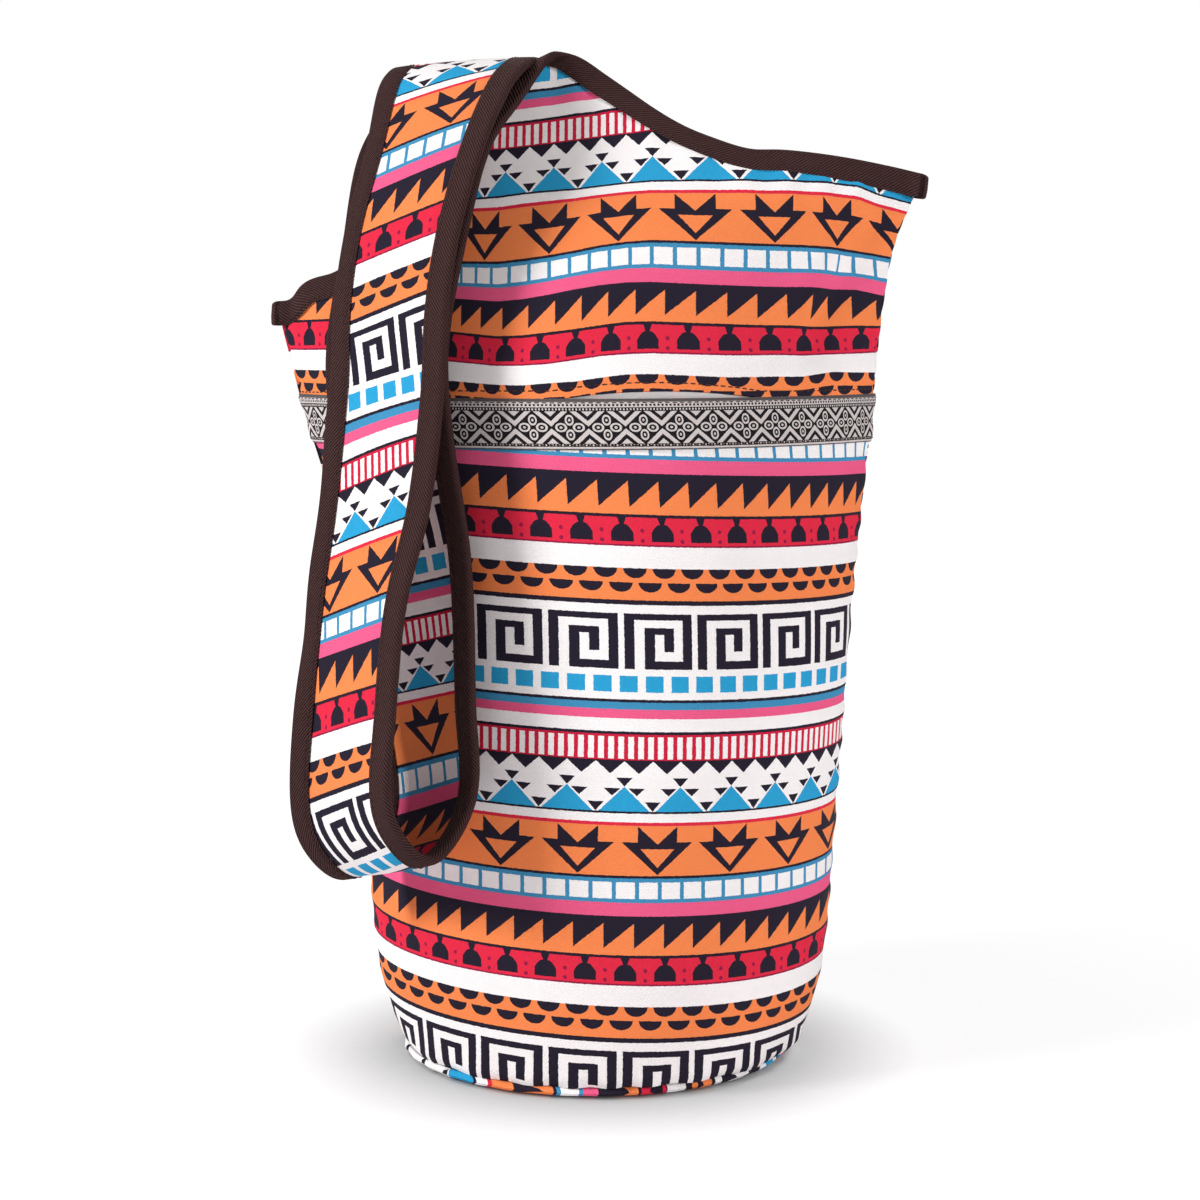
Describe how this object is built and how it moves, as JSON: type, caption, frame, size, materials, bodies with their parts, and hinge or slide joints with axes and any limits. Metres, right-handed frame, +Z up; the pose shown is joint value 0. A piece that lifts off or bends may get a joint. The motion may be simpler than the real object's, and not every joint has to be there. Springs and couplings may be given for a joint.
{
  "type": "yoga mat bag",
  "caption": "Upright printed canvas bucket bag for a rolled yoga mat, with a round base, a front pocket and one wide tape-bound shoulder strap",
  "frame": {"origin": "on the floor under the middle of the round base", "axes": "+Z up from the base to the strap's ridge, -Y towards the front pocket, +X to the right as seen from the front"},
  "size_m": [0.2681, 0.2193, 0.4109],
  "materials": {
    "printed_canvas": "cotton canvas with a printed banded pattern, matt",
    "white_lining": "plain white cotton, matt",
    "woven_ribbon": "woven black and cream ribbon, slight sheen",
    "brown_tape": "dark brown diagonal-ribbed twill tape, matt"
  },
  "bodies": {
    "root": {"base_panel": "printed_canvas", "lower_front_panel": "printed_canvas", "upper_front_panel": "printed_canvas", "back_panel": "printed_canvas", "pocket_lining": "white_lining", "ribbon_trim": "woven_ribbon", "strap_outer": "printed_canvas", "strap_inner": "printed_canvas", "binding_right": "brown_tape", "binding_left": "brown_tape"}
  },
  "joints": []
}
